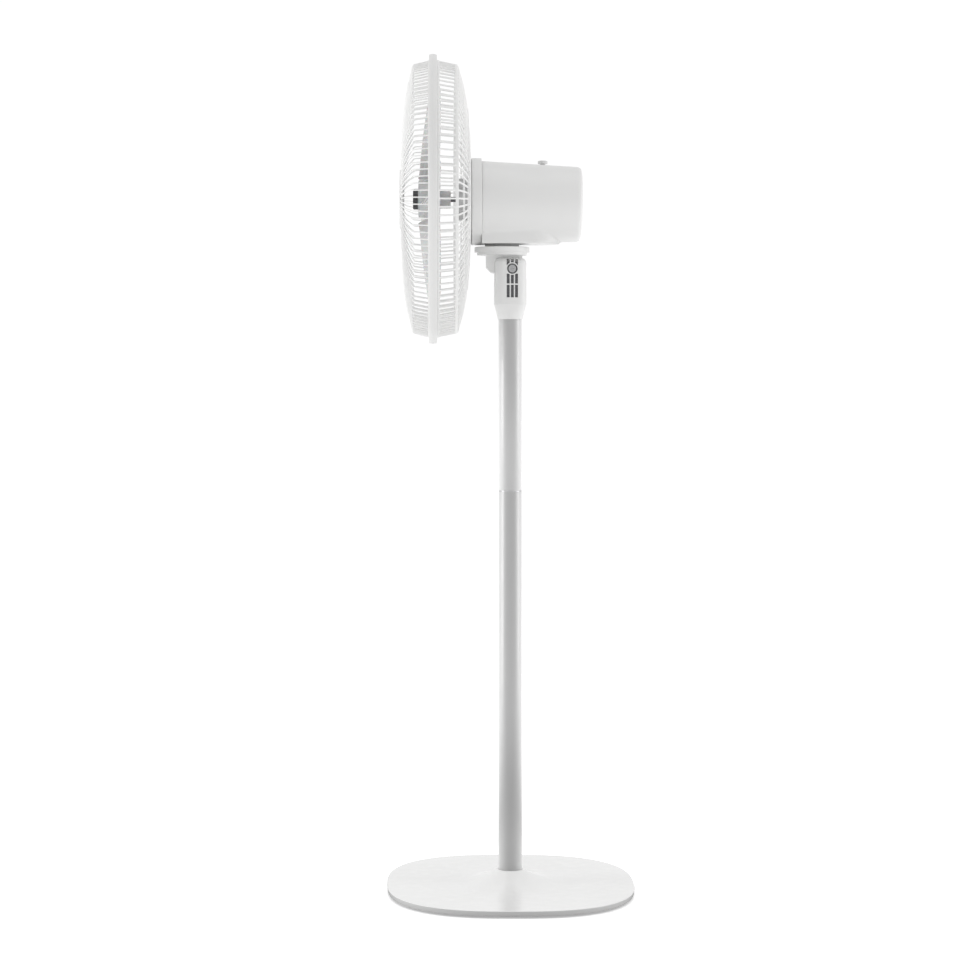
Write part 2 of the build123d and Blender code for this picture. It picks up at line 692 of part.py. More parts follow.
# ================================================================ head carrier and oscillation drive
with BuildPart() as head_carrier:
    block(
        (stator_front - 16, -20, carrier_bottom),
        (stator_rear + 18, 20, carrier_bottom + carrier_thickness),
    )
    for lug_x in (stator_front - 14, stator_rear + 2):
        block((lug_x, -14, carrier_bottom), (lug_x + 10, 14, head_z - stator_radius + 5))
    bar_x(stator_front - 20, stator_rear + 20, stator_radius, mode=Mode.SUBTRACT)
    bar_z(carrier_bottom, spindle_top, bearing_radius + 1, x=turn_x, mode=Mode.SUBTRACT)
finish_part(head_carrier, "head_carrier")

with BuildPart() as spindle_bushing:
    bushing_top = carrier_bottom + carrier_thickness
    bar_z(carrier_bottom, bushing_top, bearing_radius + 1, spindle_radius + slip_gap, x=turn_x)
finish_part(spindle_bushing, "spindle_bushing")

gear_front = stator_rear + 27
gear_low = (gear_front, -11, gear_floor)
gear_high = (drive_x + 18, drive_y + 18, head_z + 13)

with BuildPart() as gearbox_case:
    block(gear_low, gear_high)
    inner_low = (gear_front + skin, -11 + skin, gear_floor)
    inner_high = (drive_x + 18 - skin, drive_y + 18 - skin, head_z + 13 - skin)
    block(inner_low, inner_high, Mode.SUBTRACT)
    bar_x(gear_front - 1, gear_front + skin + 1, shaft_radius + 0.6, mode=Mode.SUBTRACT)
    bar_z(head_z, head_z + 14, rod_radius + 0.4, x=drive_x, y=drive_y, mode=Mode.SUBTRACT)
finish_part(gearbox_case, "gearbox_case")

with BuildPart() as gearbox_cover:
    block((gear_low[0], gear_low[1], gear_floor - skin), (gear_high[0], gear_high[1], gear_floor))
    bar_z(gear_floor - 10, gear_floor - skin, 6, x=drive_x, y=drive_y)
    bar_z(gear_floor - 10, gear_floor, 3 + slip_gap, x=drive_x, y=drive_y, mode=Mode.SUBTRACT)
finish_part(gearbox_cover, "gearbox_cover")

with BuildPart() as worm:
    worm_start = drive_x - worm_length / 2
    bar_x(worm_start, worm_start + worm_length, worm_radius - 1.2, shaft_radius)
    for turn in range(4):
        bar_x(worm_start + 0.8 + 3.2 * turn, worm_start + 2.4 + 3.2 * turn, worm_radius, shaft_radius)
finish_part(worm, "worm")

with BuildPart() as worm_wheel:
    with BuildSketch(Plane(origin=(drive_x, drive_y, head_z - wheel_height / 2))) as toothed:
        Circle(wheel_radius)
        Circle(3 + slip_gap, mode=Mode.SUBTRACT)
        with PolarLocations(wheel_radius, wheel_teeth):
            RectangleRounded(2.4, 1.7, 0.6, mode=Mode.SUBTRACT)
    extrude(toothed.sketch, amount=wheel_height)
finish_part(worm_wheel, "worm_wheel")

with BuildPart() as crank:
    bar_z(crank_bottom, crank_bottom + 4, crank_throw + 3.2, x=drive_x, y=drive_y)
    bar_z(crank_bottom + 4, head_z - wheel_height / 2 - 0.4, 3, x=drive_x, y=drive_y)
    bar_z(link_bottom - 0.4, crank_bottom, crank_pin_radius, x=crank_pin_pos[0], y=crank_pin_pos[1])
finish_part(crank, "crank")

with BuildPart() as oscillation_link:
    reach = Vector(*crank_pin_pos) - Vector(*post_pos)
    middle = (Vector(*crank_pin_pos) + Vector(*post_pos)) / 2
    with BuildSketch(Plane(origin=(middle.X, middle.Y, link_bottom), x_dir=reach)) as bar_plan:
        Rectangle(reach.length, link_bar_width)
        with Locations((reach.length / 2, 0), (-reach.length / 2, 0)):
            Circle(link_eye_radius)
        with Locations((reach.length / 2, 0)):
            Circle(crank_pin_radius + slip_gap, mode=Mode.SUBTRACT)
        with Locations((-reach.length / 2, 0)):
            Circle(post_radius - 0.6, mode=Mode.SUBTRACT)
    extrude(bar_plan.sketch, amount=link_thickness)
finish_part(oscillation_link, "oscillation_link")

with BuildPart() as oscillation_knob:
    cap_top = head_z + knob_top
    bar_z(cap_top - knob_cap, cap_top, knob_radius, x=drive_x, y=drive_y)
    fillet(oscillation_knob.edges().group_by(Axis.Z)[-1], 1.5)
    bar_z(cap_top - knob_cap - 10, cap_top - knob_cap, 4, x=drive_x, y=drive_y)
    bar_z(cap_top - knob_cap - 10, cap_top - 2, rod_radius, x=drive_x, y=drive_y, mode=Mode.SUBTRACT)
finish_part(oscillation_knob, "oscillation_knob")

with BuildPart() as clutch_rod:
    bar_z(head_z - wheel_height / 2 + 0.6, head_z + knob_top - 2, rod_radius, x=drive_x, y=drive_y)
finish_part(clutch_rod, "clutch_rod")

# ================================================================ speed control and capacitor
with BuildPart() as speed_knob:
    knob_face = housing_rear + 0.5
    bar_x(well_floor + 1, knob_face, speed_knob_radius, z=well_z)
    fillet(speed_knob.edges().sort_by(Axis.X)[-1], 1.5)
    bar_x(well_floor + 3, knob_face - 3, speed_knob_radius - 2, 6, z=well_z, mode=Mode.SUBTRACT)
    grip = (knob_face - 4, -speed_knob_radius + 3, well_z - 2.5)
    block(grip, (knob_face + 1.0, speed_knob_radius - 3, well_z + 2.5))
    bar_x(well_floor - 14, well_floor + 2, 3, z=well_z)
finish_part(speed_knob, "speed_knob")

with BuildPart() as speed_switch:
    switch_rear = well_floor - skin
    block((switch_rear - 20, -13, well_z - 13), (switch_rear, 13, well_z + 13))
    bar_x(switch_rear - 16, switch_rear, 3 + slip_gap, z=well_z, mode=Mode.SUBTRACT)
finish_part(speed_switch, "speed_switch")

with BuildPart() as capacitor:
    block((drive_x - 16, -44, head_z - 18), (drive_x + 16, -27, head_z + 8))
    fillet(capacitor.edges().filter_by(Axis.X), 2)
finish_part(capacitor, "capacitor")

# ================================================================ grilles
ring_start = seam_x - ring_width / 2
ring_end = ring_start + ring_width
ring_mid = head_z - ring_radius
rim_inner = rim_radius - rim_depth - 1.5
ring_nut_z = head_z - rim_inner + 0.1

with BuildPart() as rear_grille:
    rear_form = (seam_x, rear_corner_x, rear_corner_radius, rear_apex_x)
    revolve(bowl(*rear_form, 0), axis=head_axis)
    revolve(bowl(*rear_form, grille_skin), axis=head_axis, mode=Mode.SUBTRACT)
    bar_x(seam_x + seam_gap, seam_x + rim_width, rim_radius, rim_inner)
    bar_x(rear_apex_x - 8, rear_apex_x + 1, thread_radius + 0.3, mode=Mode.SUBTRACT)
    side_start = seam_x + rim_width + 5
    rib_gaps(rear_ribs, rear_rib_width, 180, 225, side_start, rear_corner_x - hoop_width)
    zones = (
        (plate_radius + 2, rear_hoops[0], rear_ribs // 3),
        (rear_hoops[0] + hoop_depth, rear_hoops[1], rear_ribs // 2),
        (rear_hoops[1] + hoop_depth, rear_hoops[2], rear_ribs),
        (rear_hoops[2] + hoop_depth, rear_corner_radius - 5, rear_ribs),
    )
    for inner, outer, count in zones:
        rib_gaps(count, rear_rib_width, inner, outer, rear_corner_x - hoop_width, rear_apex_x + 1)
    bar_z(ring_mid - 2, ring_mid + 16, 1.8, x=seam_x, mode=Mode.SUBTRACT)
    bar_z(ring_nut_z - 0.05, ring_nut_z + 9, 4.2, x=seam_x, mode=Mode.SUBTRACT)
finish_part(rear_grille, "rear_grille")

with BuildPart() as front_grille:
    front_form = (seam_x, front_corner_x, front_corner_radius, front_apex_x)
    revolve(bowl(*front_form, 0), axis=head_axis)
    revolve(bowl(*front_form, grille_skin), axis=head_axis, mode=Mode.SUBTRACT)
    bar_x(seam_x - rim_width, seam_x - seam_gap, rim_radius, rim_inner)
    bar_x(front_apex_x - 1, front_apex_x + 8, cap_radius - 4, mode=Mode.SUBTRACT)
    side_end = seam_x - rim_width - 2
    rib_gaps(front_ribs, front_rib_width, mid_ring_radius + 2, 225, front_apex_x - 1, side_end)
    inner_zone = (cap_radius + 2, mid_ring_radius - 1)
    rib_gaps(front_ribs // 2, front_rib_width, *inner_zone, front_apex_x - 1, front_corner_x)
    bar_z(ring_mid - 2, ring_mid + 16, 1.8, x=seam_x, mode=Mode.SUBTRACT)
    bar_z(ring_nut_z - 0.05, ring_nut_z + 9, 4.2, x=seam_x, mode=Mode.SUBTRACT)
finish_part(front_grille, "front_grille")

with BuildPart() as front_cap:
    bar_x(front_apex_x - 1.5, front_apex_x, cap_radius)
    fillet(front_cap.edges().sort_by(Axis.X)[0], 1.0)
    bar_x(front_apex_x, front_apex_x + 4, cap_radius - 4, cap_radius - 6)
finish_part(front_cap, "front_cap")

with BuildPart() as grille_ring:
    bar_x(ring_start, ring_end, ring_radius)
    fillet(grille_ring.edges().filter_by(GeomType.CIRCLE), 1.2)
    bar_x(ring_start + ring_wall, ring_end - ring_wall, rim_radius + rim_gap, mode=Mode.SUBTRACT)
    bar_x(ring_start - 1, ring_end + 1, rim_radius - rim_depth + 2, mode=Mode.SUBTRACT)
    bar_z(ring_mid - 1, ring_mid + 8, 1.6, x=seam_x, mode=Mode.SUBTRACT)
    bar_z(ring_mid - 1, ring_mid + screw_sink, screw_head_radius + 0.2, x=seam_x, mode=Mode.SUBTRACT)
finish_part(grille_ring, "grille_ring")

with BuildPart() as ring_screw:
    bar_z(ring_mid + 0.2, ring_nut_z + 3, 1.6, x=seam_x)
    bar_z(ring_mid + 0.2, ring_mid + screw_sink, screw_head_radius, x=seam_x)
finish_part(ring_screw, "ring_screw")

with BuildPart() as ring_nut:
    with BuildSketch(Plane(origin=(seam_x, 0, ring_nut_z))) as small_nut:
        RegularPolygon(3.2, 6)
        Circle(1.6, mode=Mode.SUBTRACT)
    extrude(small_nut.sketch, amount=2.4)
finish_part(ring_nut, "ring_nut")

with BuildPart() as grille_nut:
    nut_start = collar_front - thread_length - 3
    bar_x(nut_start, rear_apex_x - grille_skin - 0.1, thread_radius + 8, thread_radius)
    with BuildSketch(facing_x(nut_start)) as grips:
        with PolarLocations(thread_radius + 8.5, 24):
            Circle(1.6)
    extrude(grips.sketch, amount=rear_apex_x - nut_start, mode=Mode.SUBTRACT)
finish_part(grille_nut, "grille_nut")

# ================================================================ fan
hub_rear = hub_front + hub_length


def blade_section(radius, turn):
    """Cambered blade section at a radius; turn is the blade's place round the hub."""
    spread = (radius - hub_radius) / (blade_radius - hub_radius)
    chord = blade_root_chord * (1 + 1.27 * spread - 1.15 * spread**2)
    pitch = radians(blade_root_pitch + (blade_tip_pitch - blade_root_pitch) * sqrt(max(spread, 0)))
    sweep = 0.28 * spread
    camber = 0.07 * chord
    angle = turn + sweep
    origin = (blade_mid_x + blade_rake * spread, -radius * sin(angle), head_z + radius * cos(angle))
    plane = Plane(origin=origin, x_dir=(1, 0, 0), z_dir=(0, -sin(angle), cos(angle)))
    along = (sin(pitch), cos(pitch))
    across = (cos(pitch), -sin(pitch))

    def point(run, rise):
        return (along[0] * run + across[0] * rise, along[1] * run + across[1] * rise)

    half = chord / 2
    with BuildSketch(plane) as section:
        with BuildLine():
            ThreePointArc(point(-half, 0), point(0, camber), point(half, 0))
            Line(point(half, 0), point(half, blade_thickness * 0.6))
            ThreePointArc(
                point(half, blade_thickness * 0.6),
                point(0, camber + blade_thickness),
                point(-half, blade_thickness * 0.6),
            )
            Line(point(-half, blade_thickness * 0.6), point(-half, 0))
        make_face()
    return section.sketch


with BuildPart() as fan_blade:
    bar_x(hub_front, hub_rear, hub_radius)
    fillet(fan_blade.edges().sort_by(Axis.X)[0], 4)
    bar_x(hub_front + skin, hub_rear, hub_radius - skin, mode=Mode.SUBTRACT)
    bar_x(hub_front, hub_rear + hub_boss_length, hub_boss_radius)
    for index in range(blade_count):
        turn = 2 * pi * index / blade_count
        loft([blade_section(r, turn) for r in (hub_radius - 1, 100, blade_radius)])
    bar_x(hub_front - 1, hub_rear + hub_boss_length, shaft_radius, mode=Mode.SUBTRACT)
    bar_z(head_z - 9, head_z + 9, pin_radius, x=pin_x, mode=Mode.SUBTRACT)
finish_part(fan_blade, "fan_blade")

with BuildPart() as drive_pin:
    bar_z(head_z - 9, head_z + 9, pin_radius, x=pin_x)
finish_part(drive_pin, "drive_pin")

with BuildPart() as spinner_nut:
    bar_x(hub_front - spinner_length, hub_front, spinner_radius)
    fillet(spinner_nut.edges().sort_by(Axis.X)[0], 2)
    with BuildSketch(facing_x(hub_front - spinner_length)) as nut_grips:
        with PolarLocations(spinner_radius + 0.6, 16):
            Circle(1.3)
    extrude(nut_grips.sketch, amount=spinner_length, mode=Mode.SUBTRACT)
    bar_x(hub_front - 4, hub_front, shaft_radius, mode=Mode.SUBTRACT)
finish_part(spinner_nut, "spinner_nut")
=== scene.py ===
"""Looks of the pedestal fan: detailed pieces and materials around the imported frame."""
import json
from math import cos, pi, radians, sin, sqrt

import bmesh
import bpy
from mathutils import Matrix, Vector


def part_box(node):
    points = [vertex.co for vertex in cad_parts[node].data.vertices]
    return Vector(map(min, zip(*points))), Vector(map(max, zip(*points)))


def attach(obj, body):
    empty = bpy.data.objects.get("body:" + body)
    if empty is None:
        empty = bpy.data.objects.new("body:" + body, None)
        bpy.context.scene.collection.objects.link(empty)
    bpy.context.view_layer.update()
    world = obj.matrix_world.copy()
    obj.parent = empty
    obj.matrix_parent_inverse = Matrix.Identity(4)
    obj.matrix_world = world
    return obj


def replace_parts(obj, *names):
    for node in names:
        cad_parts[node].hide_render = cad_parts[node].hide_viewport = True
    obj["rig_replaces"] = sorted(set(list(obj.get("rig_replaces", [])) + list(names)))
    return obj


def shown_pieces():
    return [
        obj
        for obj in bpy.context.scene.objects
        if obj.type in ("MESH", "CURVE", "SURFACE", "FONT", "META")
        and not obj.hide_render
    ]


MM = 0.001
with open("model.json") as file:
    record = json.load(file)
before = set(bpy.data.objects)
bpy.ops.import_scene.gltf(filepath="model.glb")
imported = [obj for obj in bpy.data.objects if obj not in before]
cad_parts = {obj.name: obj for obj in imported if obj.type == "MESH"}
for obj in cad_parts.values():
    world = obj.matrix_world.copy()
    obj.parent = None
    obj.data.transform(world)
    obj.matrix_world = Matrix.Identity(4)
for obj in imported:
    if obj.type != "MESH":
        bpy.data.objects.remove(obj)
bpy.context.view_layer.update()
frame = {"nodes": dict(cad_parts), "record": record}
cad_nodes = frame["nodes"]


# ---------------------------------------------------------------- places, from the frame
def middle(node):
    low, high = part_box(node)
    return (low + high) / 2


ring_low, ring_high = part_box("grille_ring")
seam_x = middle("grille_ring").x
head_z = middle("grille_ring").z
ring_radius = (ring_high.y - ring_low.y) / 2
front_apex_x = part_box("front_grille")[0].x
rear_apex_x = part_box("rear_grille")[1].x
collar_low, collar_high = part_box("front_cover")
housing_low, housing_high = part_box("motor_housing")
pole_radius = (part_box("pole_upper")[1].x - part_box("pole_upper")[0].x) / 2


# ---------------------------------------------------------------- material helpers
class Finish:
    """A procedural material under construction, with short calls for its usual nodes."""

    def __init__(self, name, color, roughness, metallic=0.0, coat=0.0, specular=0.5):
        self.material = bpy.data.materials.new(name)
        self.material.use_nodes = True
        self.tree = self.material.node_tree
        self.shader = self.tree.nodes["Principled BSDF"]
        self.color = color
        self.shader.inputs["Base Color"].default_value = (*color, 1)
        self.shader.inputs["Roughness"].default_value = roughness
        self.shader.inputs["Metallic"].default_value = metallic
        self.shader.inputs["Coat Weight"].default_value = coat
        self.shader.inputs["Coat Roughness"].default_value = 0.08
        self.shader.inputs["Specular IOR Level"].default_value = specular
        self.place = self.tree.nodes.new("ShaderNodeTexCoord").outputs["Object"]
        self.height = None

    def node(self, kind, **values):
        made = self.tree.nodes.new(kind)
        for key, value in values.items():
            if key in made.inputs:
                made.inputs[key].default_value = value
            else:
                setattr(made, key, value)
        return made

    def link(self, source, target):
        self.tree.links.new(source, target)

    def stretched(self, scale):
        """Object coordinates stretched by a scale along each axis."""
        mapping = self.node("ShaderNodeMapping")
        mapping.inputs["Scale"].default_value = scale
        self.link(self.place, mapping.inputs["Vector"])
        return mapping.outputs["Vector"]

    def noise(self, scale, detail=3.0, vector=None):
        made = self.node("ShaderNodeTexNoise", Scale=scale, Detail=detail)
        self.link(vector or self.place, made.inputs["Vector"])
        return made.outputs["Fac"]

    def ranged(self, source, low, high, start=0.3, end=0.7):
        made = self.node("ShaderNodeMapRange")
        made.inputs["From Min"].default_value = start
        made.inputs["From Max"].default_value = end
        made.inputs["To Min"].default_value = low
        made.inputs["To Max"].default_value = high
        self.link(source, made.inputs["Value"])
        return made.outputs["Result"]

    def mottle(self, source, other, start=0.3, end=0.7):
        """Colour drifts from the base colour to another one with a pattern."""
        mix = self.node("ShaderNodeMix", data_type="RGBA")
        color_a, color_b, color_out = 6, 7, 2
        mix.inputs[color_a].default_value = (*self.color, 1)
        mix.inputs[color_b].default_value = (*other, 1)
        self.link(self.ranged(source, 0.0, 1.0, start, end), mix.inputs["Factor"])
        self.link(mix.outputs[color_out], self.shader.inputs["Base Color"])
        return self

    def gloss(self, source, low, high):
        self.link(self.ranged(source, low, high), self.shader.inputs["Roughness"])
        return self

    def bump(self, source, depth, strength=1.0):
        made = self.node("ShaderNodeBump", Strength=strength, Distance=depth)
        self.link(source, made.inputs["Height"])
        if self.height:
            self.link(self.height, made.inputs["Normal"])
        self.height = made.outputs["Normal"]
        self.link(self.height, self.shader.inputs["Normal"])
        return self


def shade(color, factor):
    return tuple(channel * factor for channel in color)


# ---------------------------------------------------------------- materials
def moulded(name, color, roughness, grain=0.00003, coat=0.0):
    """Moulded plastic: a fine spark-eroded grain, slow sink marks and a faint drift of tone."""
    finish = Finish(name, color, roughness, coat=coat)
    finish.mottle(finish.noise(9, 2), shade(color, 0.965))
    finish.gloss(finish.noise(60, 4), roughness - 0.05, roughness + 0.07)
    finish.bump(finish.noise(14, 1), 0.0004, 0.35)
    finish.bump(finish.noise(1400, 2), grain)
    return finish.material


def powder_coat_painted_sheen(name, color, roughness):
    """Powder coat with painted light: its colour is painted paler at grazing angles, a painted highlight for
    softbox reflections along the edges, with a tight orange peel over a smooth tube.
    """
    finish = Finish(name, color, roughness, metallic=0.4, coat=0.15)
    # painted highlight: the colour is painted pale towards grazing angles, standing in for the side
    # softboxes' reflections along the pole's edges
    painted_edge_sheen = finish.node("ShaderNodeLayerWeight", Blend=0.35)
    finish.mottle(painted_edge_sheen.outputs["Facing"], (0.93, 0.93, 0.93), 0.05, 0.75)
    finish.gloss(finish.noise(35, 3), roughness - 0.03, roughness + 0.04)
    finish.bump(finish.noise(700, 2), 0.000003, 0.5)
    return finish.material


def brushed(name, color, roughness, scale=(60, 1200, 1200)):
    """Metal with fine drawn lines along one axis."""
    finish = Finish(name, color, roughness, metallic=1.0)
    lines = finish.noise(1.0, 4, finish.stretched(scale))
    finish.mottle(lines, shade(color, 0.72))
    finish.gloss(lines, roughness - 0.08, roughness + 0.14)
    finish.bump(lines, 0.00003)
    return finish.material


def cast(name, color, roughness, metallic):
    """Die-cast or sand-cast metal: pebbled skin with darker hollows."""
    finish = Finish(name, color, roughness, metallic=metallic)
    pebbles = finish.noise(520, 5)
    finish.mottle(pebbles, shade(color, 0.6))
    finish.gloss(finish.noise(90, 3), roughness - 0.1, roughness + 0.12)
    finish.bump(pebbles, 0.00012)
    return finish.material


def banded(name, color, direction, scale, metallic, roughness):
    """Stacked sheets or wound wire: fine bands along one axis."""
    finish = Finish(name, color, roughness, metallic=metallic)
    wave = finish.node("ShaderNodeTexWave", Scale=scale, Distortion=0.6)
    wave.bands_direction = direction
    finish.link(finish.place, wave.inputs["Vector"])
    finish.mottle(wave.outputs["Fac"], shade(color, 0.45))
    finish.bump(wave.outputs["Fac"], 0.00012)
    return finish.material


def milky(name, color):
    """Milky injection-moulded blade plastic that lets a little light through."""
    finish = Finish(name, color, 0.28, coat=0.2)
    finish.shader.inputs["Transmission Weight"].default_value = 0.12
    finish.shader.inputs["Subsurface Weight"].default_value = 0.15
    finish.shader.inputs["Subsurface Scale"].default_value = 0.004
    flow = finish.noise(1.0, 2, finish.stretched((14, 40, 14)))
    finish.mottle(flow, shade(color, 0.93))
    finish.gloss(finish.noise(50, 3), 0.22, 0.34)
    finish.bump(finish.noise(900, 2), 0.00002)
    return finish.material


WHITE = (0.76, 0.76, 0.755)
finishes = {
    "white_plastic": moulded("white_plastic", WHITE, 0.36),
    # painted reflection: the white pole's colour is set to mid grey, standing in for the dark reflection down
    # the middle of the tube
    "white_pole": powder_coat_painted_sheen("white_pole", (0.5, 0.5, 0.5), 0.42),
    "base_gloss": moulded("base_gloss", (0.88, 0.88, 0.875), 0.2, 0.000008, 0.3),
    "grille_plastic": moulded("grille_plastic", (0.84, 0.84, 0.835), 0.34),
    "ring_plastic": moulded("ring_plastic", (0.74, 0.74, 0.735), 0.4),
    "blade_plastic": milky("blade_plastic", (0.74, 0.75, 0.75)),
    "grey_plastic": moulded("grey_plastic", (0.6, 0.6, 0.6), 0.42),
    "dark_plastic": moulded("dark_plastic", (0.085, 0.085, 0.09), 0.42),
    "nylon": moulded("nylon", (0.72, 0.7, 0.62), 0.38),
    "rubber": cast("rubber", (0.03, 0.03, 0.03), 0.75, 0.0),
    "steel": brushed("steel", (0.62, 0.62, 0.63), 0.3),
    "dark_steel": brushed("dark_steel", (0.2, 0.2, 0.21), 0.36),
    "core_steel": banded("core_steel", (0.45, 0.45, 0.47), "X", 320, 1.0, 0.42),
    "cast_iron": cast("cast_iron", (0.09, 0.09, 0.095), 0.62, 0.35),
    "aluminium": cast("aluminium", (0.66, 0.66, 0.67), 0.42, 1.0),
    "brass": brushed("brass", (0.62, 0.42, 0.2), 0.34),
    "copper": banded("copper", (0.56, 0.24, 0.1), "Y", 380, 0.85, 0.32),
}


# ---------------------------------------------------------------- mesh helpers
def add_piece(name, mesh, body, finish, stands_for=(), slot=None, sharp=32):
    """Put a mesh in the scene as a piece of the object, on its body and with its finish."""
    piece = bpy.data.objects.new(name, mesh)
    bpy.context.scene.collection.objects.link(piece)
    mesh.materials.append(finishes[finish])
    mesh.shade_smooth()
    mesh.set_sharp_from_angle(angle=radians(sharp))
    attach(piece, body)
    if stands_for:
        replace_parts(piece, *stands_for)
    return piece


def finish_mesh(name, bm):
    bmesh.ops.remove_doubles(bm, verts=bm.verts, dist=1e-6)
    bmesh.ops.recalc_face_normals(bm, faces=bm.faces)
    mesh = bpy.data.meshes.new(name)
    bm.to_mesh(mesh)
    bm.free()
    return mesh


def rounded(points, radii, steps=5):
    """A polyline with its inner corners rounded; radii gives one radius for each inner corner."""
    path = [Vector(points[0])]
    for before, corner, after, radius in zip(points, points[1:], points[2:], radii):
        corner = Vector(corner)
        to_before = (Vector(before) - corner).normalized()
        to_after = (Vector(after) - corner).normalized()
        if radius <= 0:
            path.append(corner)
            continue
        angle = to_before.angle(to_after)
        reach = radius / max(sin(angle / 2) / cos(angle / 2), 1e-6)
        start = corner + to_before * reach
        end = corner + to_after * reach
        for step in range(steps + 1):
            t = step / steps
            path.append(start * (1 - t) ** 2 + corner * 2 * t * (1 - t) + end * t**2)
    path.append(Vector(points[-1]))
    return path


def ring_of(bm, count, place):
    """A closed ring of vertices, place(angle) giving each one's position."""
    return [bm.verts.new(place(2 * pi * step / count)) for step in range(count)]


def bridge(bm, first, second):
    count = len(first)
    for step in range(count):
        after = (step + 1) % count
        bm.faces.new((first[step], first[after], second[after], second[step]))


def lathe(name, profile, body, finish, axis="X", centre=None, count=128, closed=False, **options):
    """Turn a profile of (distance along the axis, radius) points about a line along X or Z."""
    centre = centre or Vector((0, 0, head_z))

    def place_at(along, radius):
        if axis == "X":
            return lambda angle: (along, centre.y + radius * sin(angle), centre.z + radius * cos(angle))
        return lambda angle: (centre.x + radius * cos(angle), centre.y + radius * sin(angle), along)

    bm = bmesh.new()
    rings = [ring_of(bm, count, place_at(along, radius)) for along, radius in profile]
    for first, second in zip(rings, rings[1:]):
        bridge(bm, first, second)
    if closed:
        bridge(bm, rings[-1], rings[0])
    else:
        for end in (rings[0], rings[-1]):
            if (end[0].co - end[len(end) // 2].co).length > 1e-7:
                bm.faces.new(end)
    return add_piece(name, finish_mesh(name, bm), body, finish, **options)


def bar_section(width, depth, corner):
    """A rounded rectangle as (across, out) pairs."""
    half_w, half_d = width / 2, depth / 2
    spots = []
    for sx, sy in ((1, 1), (-1, 1), (-1, -1), (1, -1)):
        near = (sx * half_w, sy * (half_d - corner))
        bend = (sx * (half_w - 0.3 * corner), sy * (half_d - 0.3 * corner))
        far = (sx * (half_w - corner), sy * half_d)
        spots.extend((near, bend, far) if sx * sy > 0 else (far, bend, near))
    return spots


def sweep_radial(bm, path, angle, section):
    """Sweep a section along a (x, radius) path that lies in a plane through the motor axis."""
    out = Vector((0, sin(angle), cos(angle)))
    across = Vector((0, cos(angle), -sin(angle)))
    previous = None
    last = len(path) - 1
    for index, (along, radius) in enumerate(path):
        before = path[max(index - 1, 0)]
        after = path[min(index + 1, last)]
        run = Vector((after[0] - before[0], after[1] - before[1])).normalized()
        normal = Vector((-run.y, 0, 0)) + out * run.x
        centre = Vector((along, 0, head_z)) + out * radius
        ring = [bm.verts.new(centre + across * a + normal * b) for a, b in section]
        if previous:
            bridge(bm, previous, ring)
        else:
            bm.faces.new(ring)
        previous = ring
    bm.faces.new(previous)


def hoop(bm, profile, count=192):
    """A closed ring about the motor axis with a closed (x, radius) profile."""
    rings = [
        ring_of(bm, count, lambda angle, p=point: (p[0], p[1] * sin(angle), head_z + p[1] * cos(angle)))
        for point in profile
    ]
    for first, second in zip(rings, rings[1:] + rings[:1]):
        bridge(bm, first, second)


def soft_box(x0, x1, r0, r1, corner=0.5 * MM):
    """A rounded rectangular (x, radius) profile."""
    corners = [(x0, r0), (x1, r0), (x1, r1), (x0, r1)]
    profile = []
    for index, corner_point in enumerate(corners):
        here = Vector(corner_point)
        before = Vector(corners[index - 1])
        after = Vector(corners[(index + 1) % 4])
        start = here + (before - here).normalized() * corner
        end = here + (after - here).normalized() * corner
        for t in (0.0, 0.5, 1.0):
            profile.append(start * (1 - t) ** 2 + here * 2 * t * (1 - t) + end * t**2)
    return profile


# ---------------------------------------------------------------- grilles
DOME_POWER = 3.6
SIDE_RADIUS = 211 * MM


def grille_path(rim_x, corner_x, corner_radius, apex_x, inner_radius, depth):
    """Middle line of a rib, from the rim over the rounded corner and along the dome."""
    way = 1 if apex_x > rim_x else -1
    inset = depth / 2

    def dome(radius):
        rise = abs(apex_x - corner_x) * (radius / corner_radius) ** DOME_POWER
        return (apex_x - way * (inset + rise), radius - inset * (radius / corner_radius) ** 6)

    shoulder = 0.955 * corner_radius
    corner = (corner_x - way * 0.4 * MM, corner_radius - inset)
    bend = rounded([(rim_x, SIDE_RADIUS - inset), corner, dome(shoulder)], [5 * MM], 6)
    steps = 12
    flat = [dome(shoulder + (inner_radius - shoulder) * step / steps) for step in range(1, steps + 1)]
    return [tuple(p) for p in bend] + flat


def cut_path(path, inner_radius):
    """The part of a rib's path outside a radius."""
    return [point for point in path if point[1] >= inner_radius]


def front_grille():
    ribs, depth, width = 128, 2.4 * MM, 1.7 * MM
    corner_x, corner_radius = seam_x - 30.5 * MM, 205 * MM
    cap_radius = (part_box("front_cap")[1].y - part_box("front_cap")[0].y) / 2
    rim_x = seam_x - 5 * MM
    path = grille_path(rim_x, corner_x, corner_radius, front_apex_x, cap_radius - 3 * MM, depth)
    outer = cut_path(path, 99.5 * MM)
    section = bar_section(width, depth, 0.55 * MM)
    bm = bmesh.new()
    for rib in range(ribs):
        sweep_radial(bm, path if rib % 2 == 0 else outer, 2 * pi * rib / ribs, section)
    flat_x = outer[-1][0]
    hoop(bm, soft_box(flat_x - 1.5 * MM, flat_x + 1.5 * MM, 99 * MM, 102 * MM, 0.7 * MM))
    cap_seat = (front_apex_x + 0.2 * MM, front_apex_x + 3.2 * MM, cap_radius - 4 * MM, cap_radius - 0.5 * MM)
    hoop(bm, soft_box(*cap_seat, 0.7 * MM))
    hoop(bm, soft_box(seam_x - 4.6 * MM, seam_x - 0.2 * MM, 209.5 * MM, 217 * MM))
    hoop(bm, soft_box(seam_x - 7.2 * MM, seam_x - 3 * MM, 208.4 * MM, 211.2 * MM, 0.6 * MM))
    mesh = finish_mesh("front_grille_ribs", bm)
    add_piece("front_grille_ribs", mesh, "head", "grille_plastic", ("front_grille",))


